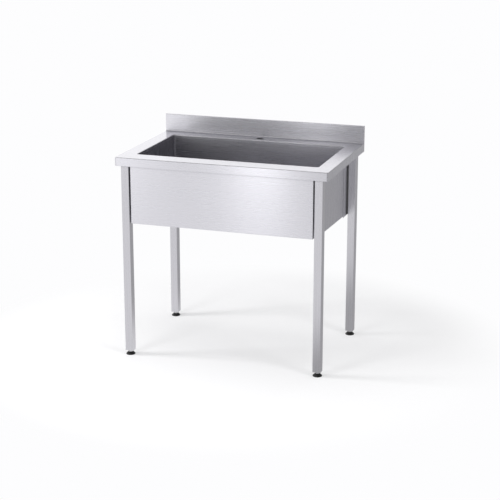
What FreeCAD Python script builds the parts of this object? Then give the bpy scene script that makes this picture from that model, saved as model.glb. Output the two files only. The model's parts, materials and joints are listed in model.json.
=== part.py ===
import FreeCAD, Part
import math
import os

# Free-standing stainless steel sink unit: one deep rectangular tub welded into a folded worktop,
# on four square tube legs with adjustable feet. A folded apron closes the front between the legs,
# and a deeper one closes the back and the ends of the space behind the tub. Millimetres, +Z up,
# +X to the right, the user stands at -Y and the wall is at +Y. The origin is on the floor under
# the middle of the worktop.

# ---- Worktop: one sheet, folded down at the front and sides and up at the back ----
WORKTOP_LENGTH = 1000.0
WORKTOP_DEPTH = 650.0
WORKTOP_HEIGHT = 950.0
WORKTOP_SHEET = 1.5
RIM_HEIGHT = 40.0
RIM_RETURN = 11.0
RIM_TOP_BEND = 1.5
RIM_BOTTOM_BEND = 0.5
RIM_CORNER_BEND = 7.5
UPSTAND_HEIGHT = 85.0
UPSTAND_THICKNESS = 15.0
UPSTAND_LIP = 20.0
UPSTAND_FOOT_BEND = 6.0
UPSTAND_TOP_BEND = 1.0
TAP_HOLE_RADIUS = 17.5
TAP_NUT_ROOM = 12.5

# ---- Tub: opening in the worktop, walls, falling floor and the low spot round the waste ----
TUB_SIDE_GAP = 8.0
FRONT_STRIP = 93.0
REAR_STRIP = 91.0
TUB_RADIUS = 12.0
OPENING_EDGE_BEND = 2.5
OPENING_LIP = 14.0
TUB_SHEET = 1.2
TUB_DEPTH = 326.0
TUB_FALL = 18.0
CREASE_MARGIN = 18.0
LANDING_MARGIN = 6.0
LANDING_DROP = 10.0
DRAIN_FROM_REAR_WALL = 119.0

# ---- Underframe: channels under the deck, plates and spigots for the legs ----
RAIL_SHEET = 1.5
RAIL_HEIGHT = 30.0
RAIL_WIDTH = 45.0
RAIL_SETBACK = 2.0
RAIL_BEND = 1.0
BRACKET_PLATE = 4.0
BRACKET_MARGIN = 4.0
SPIGOT_LENGTH = 70.0
SPIGOT_WALL = 2.5
SPIGOT_CLEARANCE = 0.2

# ---- Legs: square tube, set in from the worktop's edges ----
LEG_SIZE = 38.0
LEG_WALL = 1.5
LEG_BEND = 2.0
LEG_INSET_SIDE = 25.0
LEG_RETURN_GAP = 1.0
LEG_SCREW_RADIUS = 2.9
LEG_SCREW_LENGTH = 12.0
LEG_SCREW_HEAD_RADIUS = 5.2
LEG_SCREW_HEAD_HEIGHT = 3.2
LEG_SCREW_DROP = 34.0
SCREW_CLEARANCE = 0.3
THREAD_CLEARANCE = 0.05

# ---- Aprons: folded pans hung from the rails between the legs, with their bolts ----
APRON_SHEET = 1.2
APRON_HEIGHT = 276.5
APRON_RETURN = 15.0
APRON_SETBACK = 2.5
APRON_GAP = 6.0
APRON_BEND = 1.3
APRON_END_LAP = 7.0
APRON_BOLT_COUNT = 4
APRON_BOLT_RADIUS = 2.5
APRON_BOLT_FROM_END = 60.0
BOLT_HEAD_HEIGHT = 3.0
BOLT_POINT = 2.0
NUT_WALL = 1.5
NUT_HEIGHT = 4.0

# ---- Feet: threaded plug in the tube, spindle with hexagon collar, flared plastic pad ----
PLUG_LENGTH = 33.0
PLUG_CLEARANCE = 0.1
FOOT_STANDOUT = 22.0
SPINDLE_RADIUS = 5.0
SPINDLE_LENGTH = 55.0
SPINDLE_CHAMFER = 1.0
COLLAR_ACROSS_FLATS = 19.0
COLLAR_HEIGHT = 6.5
COLLAR_SEAT_DEPTH = 1.2
COLLAR_SEAT_CLEARANCE = 0.5
PAD_RADIUS = 21.5
PAD_SHOULDER = 1.6
PAD_EDGE = 3.5
PAD_HEIGHT = 13.0
PIN_RADIUS = 6.15
SOCKET_DEPTH = 7.0
SOCKET_END_GAP = 0.5

# ---- Waste: flanged cup through the tub floor, seals, locknut, lift-out basket ----
CUP_RADIUS = 43.0
CUP_WALL = 1.5
CUP_DEPTH = 38.0
CUP_FLANGE_WIDTH = 14.0
CUP_FLANGE_THICKNESS = 1.5
FLANGE_SEAL_THICKNESS = 1.0
FLANGE_SEAL_SETBACK = 1.0
OUTLET_RADIUS = 23.9
OUTLET_WALL = 3.4
OUTLET_LENGTH = 28.0
DRAIN_HOLE_CLEARANCE = 1.5
WASTE_THREAD_CLEARANCE = 0.1
SEAL_CLEARANCE = 0.3
GASKET_WIDTH = 11.0
GASKET_THICKNESS = 3.0
SLIP_RING_THICKNESS = 1.0
LOCKNUT_WIDTH = 9.0
LOCKNUT_HEIGHT = 12.0
LOCKNUT_LUGS = 6
LUG_WIDTH = 12.0
LUG_DEPTH = 5.0
BASKET_CLEARANCE = 0.8
BASKET_SHEET = 1.0
BASKET_DEPTH = 26.0
BASKET_TAPER = 8.0
BASKET_FLOOR_SLOTS = 12
BASKET_FLOOR_LAND = 4.0
BASKET_SLOT_WIDTH = 3.0
BASKET_SLOT_LENGTH = 13.0
BASKET_SLOT_RISE = 7.0
BASKET_SLOTS = 16
STOPPER_OVERLAP = 6.5
STOPPER_THICKNESS = 5.0
KNOB_RADIUS = 8.0
KNOB_HEIGHT = 7.0
KNOB_STEM_RADIUS = 3.0

# ---- Places worked out from the sizes above ----
HALF_LENGTH = WORKTOP_LENGTH / 2
HALF_DEPTH = WORKTOP_DEPTH / 2
RIM_BOTTOM = WORKTOP_HEIGHT - RIM_HEIGHT
DECK_UNDERSIDE = WORKTOP_HEIGHT - WORKTOP_SHEET
UPSTAND_FACE = HALF_DEPTH - UPSTAND_THICKNESS
UPSTAND_TOP = WORKTOP_HEIGHT + UPSTAND_HEIGHT
UPSTAND_FOOT = UPSTAND_FACE - UPSTAND_FOOT_BEND
UPSTAND_TOP_RADIUS = UPSTAND_TOP_BEND + WORKTOP_SHEET
OPENING_X = HALF_LENGTH - LEG_INSET_SIDE - LEG_SIZE - TUB_SIDE_GAP
OPENING_FRONT = FRONT_STRIP - HALF_DEPTH
OPENING_REAR = HALF_DEPTH - REAR_STRIP
OPENING_DEPTH = OPENING_REAR - OPENING_FRONT
OPENING_EDGE_WIDTH = 2 * (OPENING_EDGE_BEND + WORKTOP_SHEET)
TAP_Y = (OPENING_REAR + UPSTAND_FACE) / 2
TUB_TOP = WORKTOP_HEIGHT - OPENING_LIP
FLOOR_FRONT = WORKTOP_HEIGHT - TUB_DEPTH
DRAIN_Y = OPENING_REAR - DRAIN_FROM_REAR_WALL
CUP_FLANGE_RADIUS = CUP_RADIUS + CUP_FLANGE_WIDTH
LANDING_HALF = CUP_FLANGE_RADIUS + LANDING_MARGIN
RAIL_BOTTOM = DECK_UNDERSIDE - RAIL_HEIGHT
RAIL_OUTER_Y = UPSTAND_FACE - RAIL_SETBACK
RAIL_INNER_Y = RAIL_OUTER_Y - RAIL_WIDTH
LEG_X = HALF_LENGTH - LEG_INSET_SIDE - LEG_SIZE / 2
LEG_Y = HALF_DEPTH - RIM_RETURN - LEG_RETURN_GAP - LEG_SIZE / 2
LEG_TOP = RAIL_BOTTOM - BRACKET_PLATE
LEG_BORE = LEG_SIZE - 2 * LEG_WALL
LEG_SCREW_Z = LEG_TOP - LEG_SCREW_DROP
APRON_X = LEG_X - LEG_SIZE / 2 - APRON_GAP
APRON_FACE_Y = LEG_Y + LEG_SIZE / 2 - APRON_SETBACK
APRON_BOTTOM = RAIL_BOTTOM - APRON_HEIGHT
APRON_BOLT_Y = (APRON_FACE_Y - APRON_RETURN + RAIL_OUTER_Y - 2 * RAIL_SHEET) / 2
COLLAR_SEAT = PAD_HEIGHT - COLLAR_SEAT_DEPTH
COLLAR_TOP = COLLAR_SEAT + COLLAR_HEIGHT
CORNERS = {
    "front_left": (-1, -1),
    "front_right": (1, -1),
    "rear_right": (1, 1),
    "rear_left": (-1, 1),
}
UP = FreeCAD.Vector(0, 0, 1)


def floor_level(y):
    """Height of the tub floor's inner face, which falls from the front wall to the rear one."""
    return FLOOR_FRONT - TUB_FALL * (y - OPENING_FRONT) / OPENING_DEPTH


LANDING_LEVEL = floor_level(DRAIN_Y) - LANDING_DROP


# ---- Shape helpers ----
def box(x0, x1, y0, y1, z0, z1):
    corner = FreeCAD.Vector(x0, y0, z0)
    return Part.makeBox(x1 - x0, y1 - y0, z1 - z0, corner)


def rounded_edges(points, radii, closed):
    """Edges along the points, with a tangent arc of the given radius at each corner."""
    count = len(points)
    stops = []
    for i, point in enumerate(points):
        turns = closed or 0 < i < count - 1
        if radii[i] <= 0 or not turns:
            stops.append((point, None, point))
            continue
        back = (points[i - 1] - point).normalize()
        ahead = (points[(i + 1) % count] - point).normalize()
        half_angle = back.getAngle(ahead) / 2
        reach = radii[i] / math.tan(half_angle)
        bisector = (back + ahead).normalize()
        crown = point + bisector * (radii[i] / math.sin(half_angle) - radii[i])
        stops.append((point + back * reach, crown, point + ahead * reach))
    edges = []
    for i, (start, crown, end) in enumerate(stops):
        if crown is not None:
            edges.append(Part.Arc(start, crown, end).toShape())
        following = stops[(i + 1) % count][0]
        if (closed or i < count - 1) and end.distanceToPoint(following) > 1e-6:
            edges.append(Part.makeLine(end, following))
    return edges


def plan_prism(x0, x1, y0, y1, z0, z1, radii):
    """Upright block with rounded corners; radii go front left, front right, rear right, rear left."""
    corners = [(x0, y0), (x1, y0), (x1, y1), (x0, y1)]
    points = [FreeCAD.Vector(x, y, z0) for x, y in corners]
    wire = Part.Wire(rounded_edges(points, radii, True))
    return Part.Face(wire).extrude(UP * (z1 - z0))


def square_prism(size, z0, z1, radius):
    half = size / 2
    return plan_prism(-half, half, -half, half, z0, z1, [radius] * 4)


def opening_prism(offset, z0, z1):
    """Block with the outline of the tub opening, its sides moved out by the offset."""
    x = OPENING_X + offset
    radii = [TUB_RADIUS + offset] * 4
    return plan_prism(-x, x, OPENING_FRONT - offset, OPENING_REAR + offset, z0, z1, radii)


def bent_sheet(path, radii, thickness, length):
    """Folded sheet: the path (y, z) is one face, the metal lies on its right, extruded along X."""
    points = [FreeCAD.Vector(0, y, z) for y, z in path]
    count = len(points)
    headings = [(points[i + 1] - points[i]).normalize() for i in range(count - 1)]
    normals = [FreeCAD.Vector(0, heading.z, -heading.y) for heading in headings]
    far_points = [points[0] + normals[0] * thickness]
    far_radii = [0.0]
    for i in range(1, count - 1):
        before = normals[i - 1]
        after = normals[i]
        far_points.append(points[i] + (before + after) * (thickness / (1 + before.dot(after))))
        turns_left = headings[i - 1].cross(headings[i]).x > 0
        far_radii.append(radii[i] + (thickness if turns_left else -thickness))
    far_points.append(points[-1] + normals[-1] * thickness)
    far_radii.append(0.0)
    edges = rounded_edges(points, radii, False)
    edges += rounded_edges(far_points, far_radii, False)
    edges.append(Part.makeLine(points[0], far_points[0]))
    edges.append(Part.makeLine(points[-1], far_points[-1]))
    wire = Part.Wire(Part.__sortEdges__(edges))
    sheet = Part.Face(wire).extrude(FreeCAD.Vector(length, 0, 0))
    sheet.translate(FreeCAD.Vector(-length / 2, 0, 0))
    return sheet


def level_edges(shape, z):
    """Edges that lie flat at height z."""
    return [e for e in shape.Edges if abs(e.BoundBox.ZMin - z) < 1e-6 and e.BoundBox.ZLength < 1e-6]


def revolved(profile):
    """Solid of revolution about Z from (radius, z) points."""
    points = [FreeCAD.Vector(r, 0, z) for r, z in profile]
    face = Part.Face(Part.makePolygon(points + [points[0]]))
    return face.revolve(FreeCAD.Vector(0, 0, 0), UP, 360)


def ring(inner, width, z0, z1):
    outer = inner + width
    return revolved([(inner, z0), (outer, z0), (outer, z1), (inner, z1)])


def cylinder(radius, z0, z1):
    return Part.makeCylinder(radius, z1 - z0, FreeCAD.Vector(0, 0, z0), UP)


def cross_cylinder(radius, side, start, length, z):
    """Cylinder along X from side * start, away from the middle if its length is positive."""
    base = FreeCAD.Vector(side * start, 0, z)
    heading = FreeCAD.Vector(side if length > 0 else -side, 0, 0)
    return Part.makeCylinder(radius, abs(length), base, heading)


def hexagon_prism(across_flats, z0, z1):
    reach = across_flats / math.sqrt(3)
    turns = [math.radians(60 * i) for i in range(6)]
    points = [FreeCAD.Vector(reach * math.cos(a), reach * math.sin(a), z0) for a in turns]
    return Part.Face(Part.makePolygon(points + [points[0]])).extrude(UP * (z1 - z0))


def moved(shape, x, y, z=0.0):
    copy = shape.copy()
    copy.translate(FreeCAD.Vector(x, y, z))
    return copy


def spread_round(shape, count):
    """Copies of a shape turned about Z in even steps."""
    copies = []
    for i in range(count):
        copy = shape.copy()
        copy.rotate(FreeCAD.Vector(0, 0, 0), UP, 360 * i / count)
        copies.append(copy)
    return copies


# ---- Worktop ----
def tray_block(inset, z0, z1, corner, top_radius, bottom_radius):
    """Block open to the rear, with rounded front corners and rounded top and bottom edges."""
    x = HALF_LENGTH - inset
    radii = [corner, corner, 0, 0]
    block = plan_prism(-x, x, inset - HALF_DEPTH, UPSTAND_FACE, z0, z1, radii)
    for z, radius in ((z1, top_radius), (z0, bottom_radius)):
        around = [e for e in level_edges(block, z) if e.BoundBox.YMin < UPSTAND_FACE - 1e-6]
        block = block.makeFillet(radius, around)
    return block


def folded_tray():
    """Deck with rims down at the front and sides, and a return fold under them."""
    t = WORKTOP_SHEET
    outer = tray_block(
        0.0, RIM_BOTTOM, WORKTOP_HEIGHT, RIM_CORNER_BEND + t, RIM_TOP_BEND + t, RIM_BOTTOM_BEND + t
    )
    cavity = tray_block(
        t, RIM_BOTTOM + t, DECK_UNDERSIDE, RIM_CORNER_BEND, RIM_TOP_BEND, RIM_BOTTOM_BEND
    )
    window_x = HALF_LENGTH - RIM_RETURN
    window_front = RIM_RETURN - HALF_DEPTH
    window = box(-window_x, window_x, window_front, UPSTAND_FACE, RIM_BOTTOM, RIM_BOTTOM + t)
    return outer.cut(cavity).cut(window)


def rear_rim_ends():
    """The side rims run on behind the upstand's face to the wall."""
    right = box(
        HALF_LENGTH - WORKTOP_SHEET, HALF_LENGTH, UPSTAND_FACE, HALF_DEPTH, RIM_BOTTOM, WORKTOP_HEIGHT
    )
    return [right, moved(right, WORKTOP_SHEET - WORKTOP_LENGTH, 0)]


def upstand():
    path = [
        (UPSTAND_FOOT, WORKTOP_HEIGHT),
        (UPSTAND_FACE, WORKTOP_HEIGHT),
        (UPSTAND_FACE, UPSTAND_TOP),
        (HALF_DEPTH, UPSTAND_TOP),
        (HALF_DEPTH, UPSTAND_TOP - UPSTAND_LIP),
    ]
    radii = [0, UPSTAND_FOOT_BEND, UPSTAND_TOP_RADIUS, UPSTAND_TOP_RADIUS, 0]
    return bent_sheet(path, radii, WORKTOP_SHEET, WORKTOP_LENGTH - 2 * WORKTOP_SHEET)


def edge_block(inset, top, radius):
    """Frame round the tub opening, with its inner top edge rounded."""
    hole = opening_prism(inset, TUB_TOP, top)
    block = opening_prism(OPENING_EDGE_WIDTH, TUB_TOP, top).cut(hole)
    limit = hole.BoundBox
    limit.enlarge(1e-3)
    inner_loop = [e for e in level_edges(block, top) if limit.isInside(e.BoundBox)]
    return block.makeFillet(radius, inner_loop)


def opening_edge():
    """Deck edge rolled down into the tub, of even sheet thickness round the bend."""
    outer = edge_block(0.0, WORKTOP_HEIGHT, OPENING_EDGE_BEND + WORKTOP_SHEET)
    inner = edge_block(WORKTOP_SHEET, DECK_UNDERSIDE, OPENING_EDGE_BEND)
    return outer.cut(inner)


def worktop():
    inner_x = HALF_LENGTH - WORKTOP_SHEET
    bend_room = box(-inner_x, inner_x, UPSTAND_FOOT, UPSTAND_FACE, DECK_UNDERSIDE, WORKTOP_HEIGHT)
    cut_out = opening_prism(OPENING_EDGE_WIDTH, DECK_UNDERSIDE, WORKTOP_HEIGHT)
    tray = folded_tray().cut([bend_room, cut_out])
    sheet = tray.fuse([opening_edge(), upstand()] + rear_rim_ends())
    tap_hole = cylinder(TAP_HOLE_RADIUS, RIM_BOTTOM, UPSTAND_TOP)
    return sheet.cut(moved(tap_hole, 0, TAP_Y)).removeSplitter()


def upstand_end_cap():
    """Plate that closes an end of the upstand, flush with the side rim below it."""
    half = WORKTOP_SHEET / 2
    plate = box(-half, half, UPSTAND_FACE, HALF_DEPTH, WORKTOP_HEIGHT, UPSTAND_TOP)
    top_edges = [e for e in level_edges(plate, UPSTAND_TOP) if e.BoundBox.YLength < 1e-6]
    return plate.makeFillet(UPSTAND_TOP_RADIUS, top_edges)


# ---- Tub ----
def tub_block(offset):
    """Tub form with a falling floor, its faces moved out by the offset."""
    front = OPENING_FRONT - offset
    rear = OPENING_REAR + offset
    lowest = FLOOR_FRONT - TUB_FALL - TUB_DEPTH
    corners = [
        (front, floor_level(front) - offset),
        (rear, floor_level(rear) - offset),
        (rear, lowest),
        (front, lowest),
    ]
    points = [FreeCAD.Vector(-HALF_LENGTH, y, z) for y, z in corners]
    below = Part.Face(Part.makePolygon(points + [points[0]]))
    block = opening_prism(offset, lowest, TUB_TOP)
    block = block.cut(below.extrude(FreeCAD.Vector(WORKTOP_LENGTH, 0, 0)))
    around = [e for e in block.Edges if e.BoundBox.ZMax < FLOOR_FRONT + 1]
    return block.makeFillet(TUB_RADIUS + offset, around)


def drain_dish(offset):
    """Shallow dish pressed into the floor: creases run from its corners to a level landing."""
    margin = TUB_RADIUS + CREASE_MARGIN
    x = OPENING_X - margin
    front = OPENING_FRONT + margin
    rear = OPENING_REAR - margin
    upper_plan = [(-x, front), (x, front), (x, rear), (-x, rear)]
    upper = [FreeCAD.Vector(px, y, floor_level(y) - offset) for px, y in upper_plan]
    near = DRAIN_Y - LANDING_HALF
    far = DRAIN_Y + LANDING_HALF
    lower_plan = [(-LANDING_HALF, near), (LANDING_HALF, near), (LANDING_HALF, far), (-LANDING_HALF, far)]
    lower = [FreeCAD.Vector(px, y, LANDING_LEVEL - offset) for px, y in lower_plan]
    outlines = [
        upper[::-1],
        lower,
        [upper[0], upper[1], lower[1], lower[0]],
        [upper[2], upper[3], lower[3], lower[2]],
        [upper[1], upper[2], lower[1]],
        [upper[2], lower[2], lower[1]],
        [upper[3], upper[0], lower[0]],
        [upper[3], lower[0], lower[3]],
    ]
    faces = [Part.Face(Part.makePolygon(points + [points[0]])) for points in outlines]
    dish = Part.Solid(Part.makeShell(faces))
    if dish.Volume < 0:
        dish.reverse()
    return dish


def basin():
    outer = tub_block(TUB_SHEET).fuse(drain_dish(TUB_SHEET))
    inner = tub_block(0.0).fuse(drain_dish(0.0))
    hole = cylinder(CUP_RADIUS + DRAIN_HOLE_CLEARANCE, LANDING_LEVEL - CUP_DEPTH, LANDING_LEVEL + CUP_DEPTH)
    return outer.cut(inner).cut(moved(hole, 0, DRAIN_Y)).removeSplitter()


# ---- Underframe ----
def channel(length):
    """U channel along X, open upwards, its walls meeting the underside of the deck."""
    half = RAIL_WIDTH / 2
    path = [
        (half, DECK_UNDERSIDE),
        (half, RAIL_BOTTOM),
        (-half, RAIL_BOTTOM),
        (-half, DECK_UNDERSIDE),
    ]
    radius = RAIL_BEND + RAIL_SHEET
    return bent_sheet(path, [0, radius, radius, 0], RAIL_SHEET, length)


def long_rail(side):
    """Channel under the front (-1) or rear (+1) strip, with holes for the apron's bolts."""
    y = side * (RAIL_OUTER_Y + RAIL_INNER_Y) / 2
    rail = moved(channel(WORKTOP_LENGTH - 2 * (WORKTOP_SHEET + RIM_TOP_BEND)), 0, y)
    hole = cylinder(APRON_BOLT_RADIUS + SCREW_CLEARANCE, RAIL_BOTTOM, RAIL_BOTTOM + RAIL_HEIGHT / 2)
    for x in apron_bolt_places():
        rail = rail.cut(moved(hole, x, side * APRON_BOLT_Y))
    if side > 0:
        room = cylinder(TAP_HOLE_RADIUS + TAP_NUT_ROOM, RAIL_BOTTOM, DECK_UNDERSIDE)
        rail = rail.cut(moved(room, 0, TAP_Y))
    return rail.removeSplitter()


def side_rail():
    """Channel under a side strip, butted between the two long rails."""
    rail = channel(2 * RAIL_INNER_Y)
    rail.rotate(FreeCAD.Vector(0, 0, 0), UP, 90)
    return rail


def leg_bracket(side):
    """Plate welded under the rails, with a square spigot for the leg tube."""
    spigot_size = LEG_BORE - 2 * SPIGOT_CLEARANCE
    bottom = LEG_TOP - SPIGOT_LENGTH
    plate = square_prism(LEG_SIZE + 2 * BRACKET_MARGIN, LEG_TOP, RAIL_BOTTOM, BRACKET_MARGIN)
    spigot = square_prism(spigot_size, bottom, LEG_TOP, LEG_BEND)
    bore = square_prism(spigot_size - 2 * SPIGOT_WALL, bottom, LEG_TOP, LEG_BEND)
    tapped = cross_cylinder(LEG_SCREW_RADIUS + THREAD_CLEARANCE, -side, 0.0, LEG_SIZE, LEG_SCREW_Z)
    return plate.fuse(spigot.cut(bore)).cut(tapped).removeSplitter()


def leg(side):
    outer = square_prism(LEG_SIZE, FOOT_STANDOUT, LEG_TOP, LEG_BEND + LEG_WALL)
    bore = square_prism(LEG_BORE, FOOT_STANDOUT, LEG_TOP, LEG_BEND)
    hole = cross_cylinder(LEG_SCREW_RADIUS + SCREW_CLEARANCE, -side, 0.0, LEG_SIZE, LEG_SCREW_Z)
    return outer.cut(bore).cut(hole)


def leg_screw(side):
    """Button head screw through the leg's face towards the tub, into the spigot."""
    seat = LEG_SIZE / 2
    rim = seat + LEG_SCREW_HEAD_HEIGHT
    shank = cross_cylinder(LEG_SCREW_RADIUS, -side, seat, -LEG_SCREW_LENGTH, LEG_SCREW_Z)
    head = cross_cylinder(LEG_SCREW_HEAD_RADIUS, -side, seat, LEG_SCREW_HEAD_HEIGHT, LEG_SCREW_Z)
    face_edge = [e for e in head.Edges if abs(e.CenterOfMass.x) > rim - 1e-6]
    dome = head.makeFillet(LEG_SCREW_HEAD_HEIGHT * 0.7, face_edge)
    return dome.fuse(shank).removeSplitter()


# ---- Aprons ----
def apron_bolt_places():
    reach = APRON_X - APRON_BOLT_FROM_END
    return [reach * (2 * i / (APRON_BOLT_COUNT - 1) - 1) for i in range(APRON_BOLT_COUNT)]


def pan_block(half_length, bottom, depth, inset):
    """Block behind an apron's face, with the bend radius on its front edges and its corners."""
    front = inset - APRON_FACE_Y
    rear = depth - APRON_FACE_Y
    x = half_length - inset
    block = box(-x, x, front, rear, bottom + inset, RAIL_BOTTOM - inset)
    around = [e for e in block.Edges if e.BoundBox.YMin < rear - 1e-3]
    return block.makeFillet(APRON_BEND + APRON_SHEET - inset, around)


def folded_pan(half_length, bottom, depth):
    """Pan open towards the tub; its top fold lies under the rail and takes the bolts."""
    outer = pan_block(half_length, bottom, depth, 0.0)
    pan = outer.cut(pan_block(half_length, bottom, depth, APRON_SHEET))
    hole = cylinder(APRON_BOLT_RADIUS + SCREW_CLEARANCE, RAIL_BOTTOM - APRON_RETURN, RAIL_BOTTOM)
    for x in apron_bolt_places():
        pan = pan.cut(moved(hole, x, -APRON_BOLT_Y))
    return pan


def rear_apron():
    """Pan down to the tub's lowest edge, whose deep ends lap the outside of the tub's side walls."""
    inner_x = OPENING_X + TUB_SHEET
    bottom = floor_level(OPENING_REAR) - TUB_SHEET
    depth = APRON_FACE_Y - OPENING_REAR + TUB_RADIUS + APRON_END_LAP
    pan = folded_pan(inner_x + APRON_SHEET, bottom, depth)
    near = APRON_RETURN - APRON_FACE_Y
    window = box(-inner_x, inner_x, near, depth - APRON_FACE_Y, bottom, RAIL_BOTTOM)
    pan = pan.cut(window)
    pan.rotate(FreeCAD.Vector(0, 0, 0), UP, 180)
    return pan


def apron_bolts():
    """Bolts up through the aprons' top folds, each with a nut on the rail."""
    head_top = RAIL_BOTTOM - APRON_SHEET
    nut_seat = RAIL_BOTTOM + RAIL_SHEET
    nut_top = nut_seat + NUT_HEIGHT
    shank = cylinder(APRON_BOLT_RADIUS, head_top, nut_top + BOLT_POINT)
    across_flats = 2 * (APRON_BOLT_RADIUS + NUT_WALL)
    head = hexagon_prism(across_flats, head_top - BOLT_HEAD_HEIGHT, head_top)
    nut = hexagon_prism(across_flats, nut_seat, nut_top)
    nut = nut.cut(cylinder(APRON_BOLT_RADIUS + THREAD_CLEARANCE, nut_seat, nut_top))
    pieces = []
    for piece in (head.fuse(shank).removeSplitter(), nut):
        for x in apron_bolt_places():
            pieces.append(moved(piece, x, -APRON_BOLT_Y))
            pieces.append(moved(piece, x, APRON_BOLT_Y))
    return Part.makeCompound(pieces)


# ---- Feet ----
def leg_plug():
    """Square plug flush with the tube's lower end, with the spindle's threaded bore."""
    top = FOOT_STANDOUT + PLUG_LENGTH
    plug = square_prism(LEG_BORE - 2 * PLUG_CLEARANCE, FOOT_STANDOUT, top, LEG_BEND)
    return plug.cut(cylinder(SPINDLE_RADIUS + THREAD_CLEARANCE, FOOT_STANDOUT, top))


def foot_stem():
    """Threaded spindle with a hexagon collar for the spanner and a pin in the pad's socket."""
    tip = COLLAR_TOP + SPINDLE_LENGTH
    collar = hexagon_prism(COLLAR_ACROSS_FLATS, COLLAR_SEAT, COLLAR_TOP)
    pin = cylinder(PIN_RADIUS, COLLAR_SEAT - SOCKET_DEPTH + SOCKET_END_GAP, COLLAR_SEAT)
    spindle = cylinder(SPINDLE_RADIUS, COLLAR_SEAT, tip)
    spindle = spindle.makeChamfer(SPINDLE_CHAMFER, level_edges(spindle, tip))
    return collar.fuse([pin, spindle]).removeSplitter()


def foot_pad():
    """Flared disc with a shallow seat for the collar and a blind socket for the pin."""
    seat_radius = COLLAR_ACROSS_FLATS / math.sqrt(3) + COLLAR_SEAT_CLEARANCE
    socket_radius = PIN_RADIUS + THREAD_CLEARANCE
    crown = seat_radius + PAD_SHOULDER
    profile = [
        (0, 0),
        (PAD_RADIUS - 1, 0),
        (PAD_RADIUS, 1),
        (PAD_RADIUS, PAD_EDGE),
        (crown, PAD_HEIGHT - 1),
        (crown - 1, PAD_HEIGHT),
        (seat_radius, PAD_HEIGHT),
        (seat_radius, COLLAR_SEAT),
        (socket_radius, COLLAR_SEAT),
        (socket_radius, COLLAR_SEAT - SOCKET_DEPTH),
        (0, COLLAR_SEAT - SOCKET_DEPTH),
    ]
    return revolved(profile)


# ---- Waste; heights here are from the landing in the tub floor ----
def waste_body():
    """Flanged cup with a reduced outlet."""
    flange_bottom = FLANGE_SEAL_THICKNESS
    flange_top = flange_bottom + CUP_FLANGE_THICKNESS
    edge = CUP_FLANGE_THICKNESS / 2
    bore = CUP_RADIUS - CUP_WALL
    outlet_bore = OUTLET_RADIUS - OUTLET_WALL
    outlet_end = -CUP_DEPTH - OUTLET_LENGTH
    profile = [
        (bore, flange_top - edge),
        (bore + edge, flange_top),
        (CUP_FLANGE_RADIUS - edge, flange_top),
        (CUP_FLANGE_RADIUS, flange_top - edge),
        (CUP_FLANGE_RADIUS, flange_bottom),
        (CUP_RADIUS, flange_bottom),
        (CUP_RADIUS, -CUP_DEPTH),
        (OUTLET_RADIUS, -CUP_DEPTH),
        (OUTLET_RADIUS, outlet_end),
        (outlet_bore, outlet_end),
        (outlet_bore, -CUP_DEPTH + CUP_WALL),
        (bore, -CUP_DEPTH + CUP_WALL),
    ]
    return revolved(profile)


def seals_and_locknut():
    """The seal under the flange, then gasket, slip ring and locknut below the tub floor."""
    seal_width = CUP_FLANGE_WIDTH - SEAL_CLEARANCE - FLANGE_SEAL_SETBACK
    gasket_bottom = -TUB_SHEET - GASKET_THICKNESS
    nut_top = gasket_bottom - SLIP_RING_THICKNESS
    nut_bottom = nut_top - LOCKNUT_HEIGHT
    inner = CUP_RADIUS + SEAL_CLEARANCE
    thread = CUP_RADIUS + WASTE_THREAD_CLEARANCE
    lug_start = thread + LOCKNUT_WIDTH / 2
    lug_end = thread + LOCKNUT_WIDTH + LUG_DEPTH
    lug = box(lug_start, lug_end, -LUG_WIDTH / 2, LUG_WIDTH / 2, nut_bottom, nut_top)
    nut = ring(thread, LOCKNUT_WIDTH, nut_bottom, nut_top)
    return {
        "flange_seal": ring(inner, seal_width, 0.0, FLANGE_SEAL_THICKNESS),
        "waste_gasket": ring(inner, GASKET_WIDTH, gasket_bottom, -TUB_SHEET),
        "slip_ring": ring(inner, GASKET_WIDTH, nut_top, gasket_bottom),
        "waste_locknut": nut.fuse(spread_round(lug, LOCKNUT_LUGS)).removeSplitter(),
    }


def strainer_basket(bottom):
    """Tapered cup with a rolled lip and slots in its floor and wall."""
    t = BASKET_SHEET
    top = bottom + BASKET_DEPTH
    rim = CUP_RADIUS - CUP_WALL - BASKET_CLEARANCE
    base = rim - BASKET_TAPER
    stem_hole = KNOB_STEM_RADIUS + THREAD_CLEARANCE
    profile = [
        (stem_hole, bottom),
        (base, bottom),
        (rim - t, top - t),
        (rim, top - t),
        (rim, top),
        (rim - 2 * t, top),
        (base - t, bottom + t),
        (stem_hole, bottom + t),
    ]
    low = bottom + BASKET_SLOT_RISE
    half = BASKET_SLOT_WIDTH / 2
    land = BASKET_FLOOR_LAND
    wall_slot = box(base - 2 * t, rim + t, -half, half, low, low + BASKET_SLOT_LENGTH)
    floor_slot = box(KNOB_RADIUS + land, base - land, -half, half, bottom, bottom + t)
    cuts = spread_round(wall_slot, BASKET_SLOTS) + spread_round(floor_slot, BASKET_FLOOR_SLOTS)
    return revolved(profile).cut(cuts)


def strainer_knob(bottom):
    """Pull knob on a stem that stands on the stopper."""
    top = bottom + BASKET_DEPTH
    knob_base = top - KNOB_HEIGHT
    profile = [
        (0, bottom),
        (KNOB_STEM_RADIUS, bottom),
        (KNOB_STEM_RADIUS, knob_base),
        (KNOB_RADIUS * 0.85, knob_base),
        (KNOB_RADIUS, knob_base + KNOB_HEIGHT * 0.3),
        (KNOB_RADIUS * 0.9, top - KNOB_HEIGHT * 0.2),
        (KNOB_RADIUS * 0.5, top),
        (0, top),
    ]
    return revolved(profile)


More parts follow.
